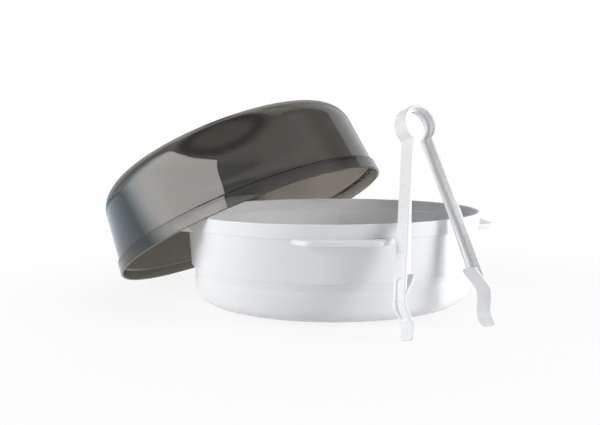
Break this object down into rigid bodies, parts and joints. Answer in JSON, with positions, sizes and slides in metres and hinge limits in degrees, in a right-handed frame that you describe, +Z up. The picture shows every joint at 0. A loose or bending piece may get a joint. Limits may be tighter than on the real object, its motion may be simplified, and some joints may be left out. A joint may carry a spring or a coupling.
{
  "type": "microwave bottle steriliser",
  "caption": "White microwave steam steriliser bowl with grip tabs, lift-out bottle rack, smoke-tinted domed lid leaning on it, and white spring tongs.",
  "frame": {"origin": "centre of the bowl's flat foot, on the surface that it stands on", "axes": "+Z up along the bowl's axis, -Y the front, +X the tongs' side"},
  "size_m": [0.3831, 0.3661, 0.1925],
  "materials": {
    "white_plastic": "gloss",
    "smoke_plastic": "gloss, see-through smoke tint",
    "tongs_plastic": "satin"
  },
  "bodies": {
    "bowl": {"base_bowl": "white_plastic"},
    "rack": {"bottle_rack": "white_plastic"},
    "lid": {"lid": "smoke_plastic"},
    "tongs": {"tongs_left_arm": "tongs_plastic", "tongs_bow": "tongs_plastic"},
    "tongs_right": {"tongs_right_arm": "tongs_plastic"}
  },
  "joints": [
    {"name": "rack_lift", "type": "slide", "parent": "bowl", "child": "rack", "axis": [0, 0, 1], "range_m": [0, 0.04]},
    {"name": "lid_lift", "type": "slide", "parent": "bowl", "child": "lid", "axis": [0, 0, 1], "range_m": [0, 0.12]},
    {"name": "tongs_lift", "type": "slide", "parent": "bowl", "child": "tongs", "axis": [0, 0, 1], "range_m": [0, 0.15]},
    {"name": "tongs_squeeze", "type": "hinge", "parent": "tongs", "child": "tongs_right", "pos_m": [0.06711, -0.10741, 0.16385], "axis": [-0.5111, 0.818, -0.2639], "range_deg": [0, 26], "stiffness_Nm_per_rad": 0.3, "springref_deg": -2.86, "deforming": ["tongs_bow"]}
  ]
}
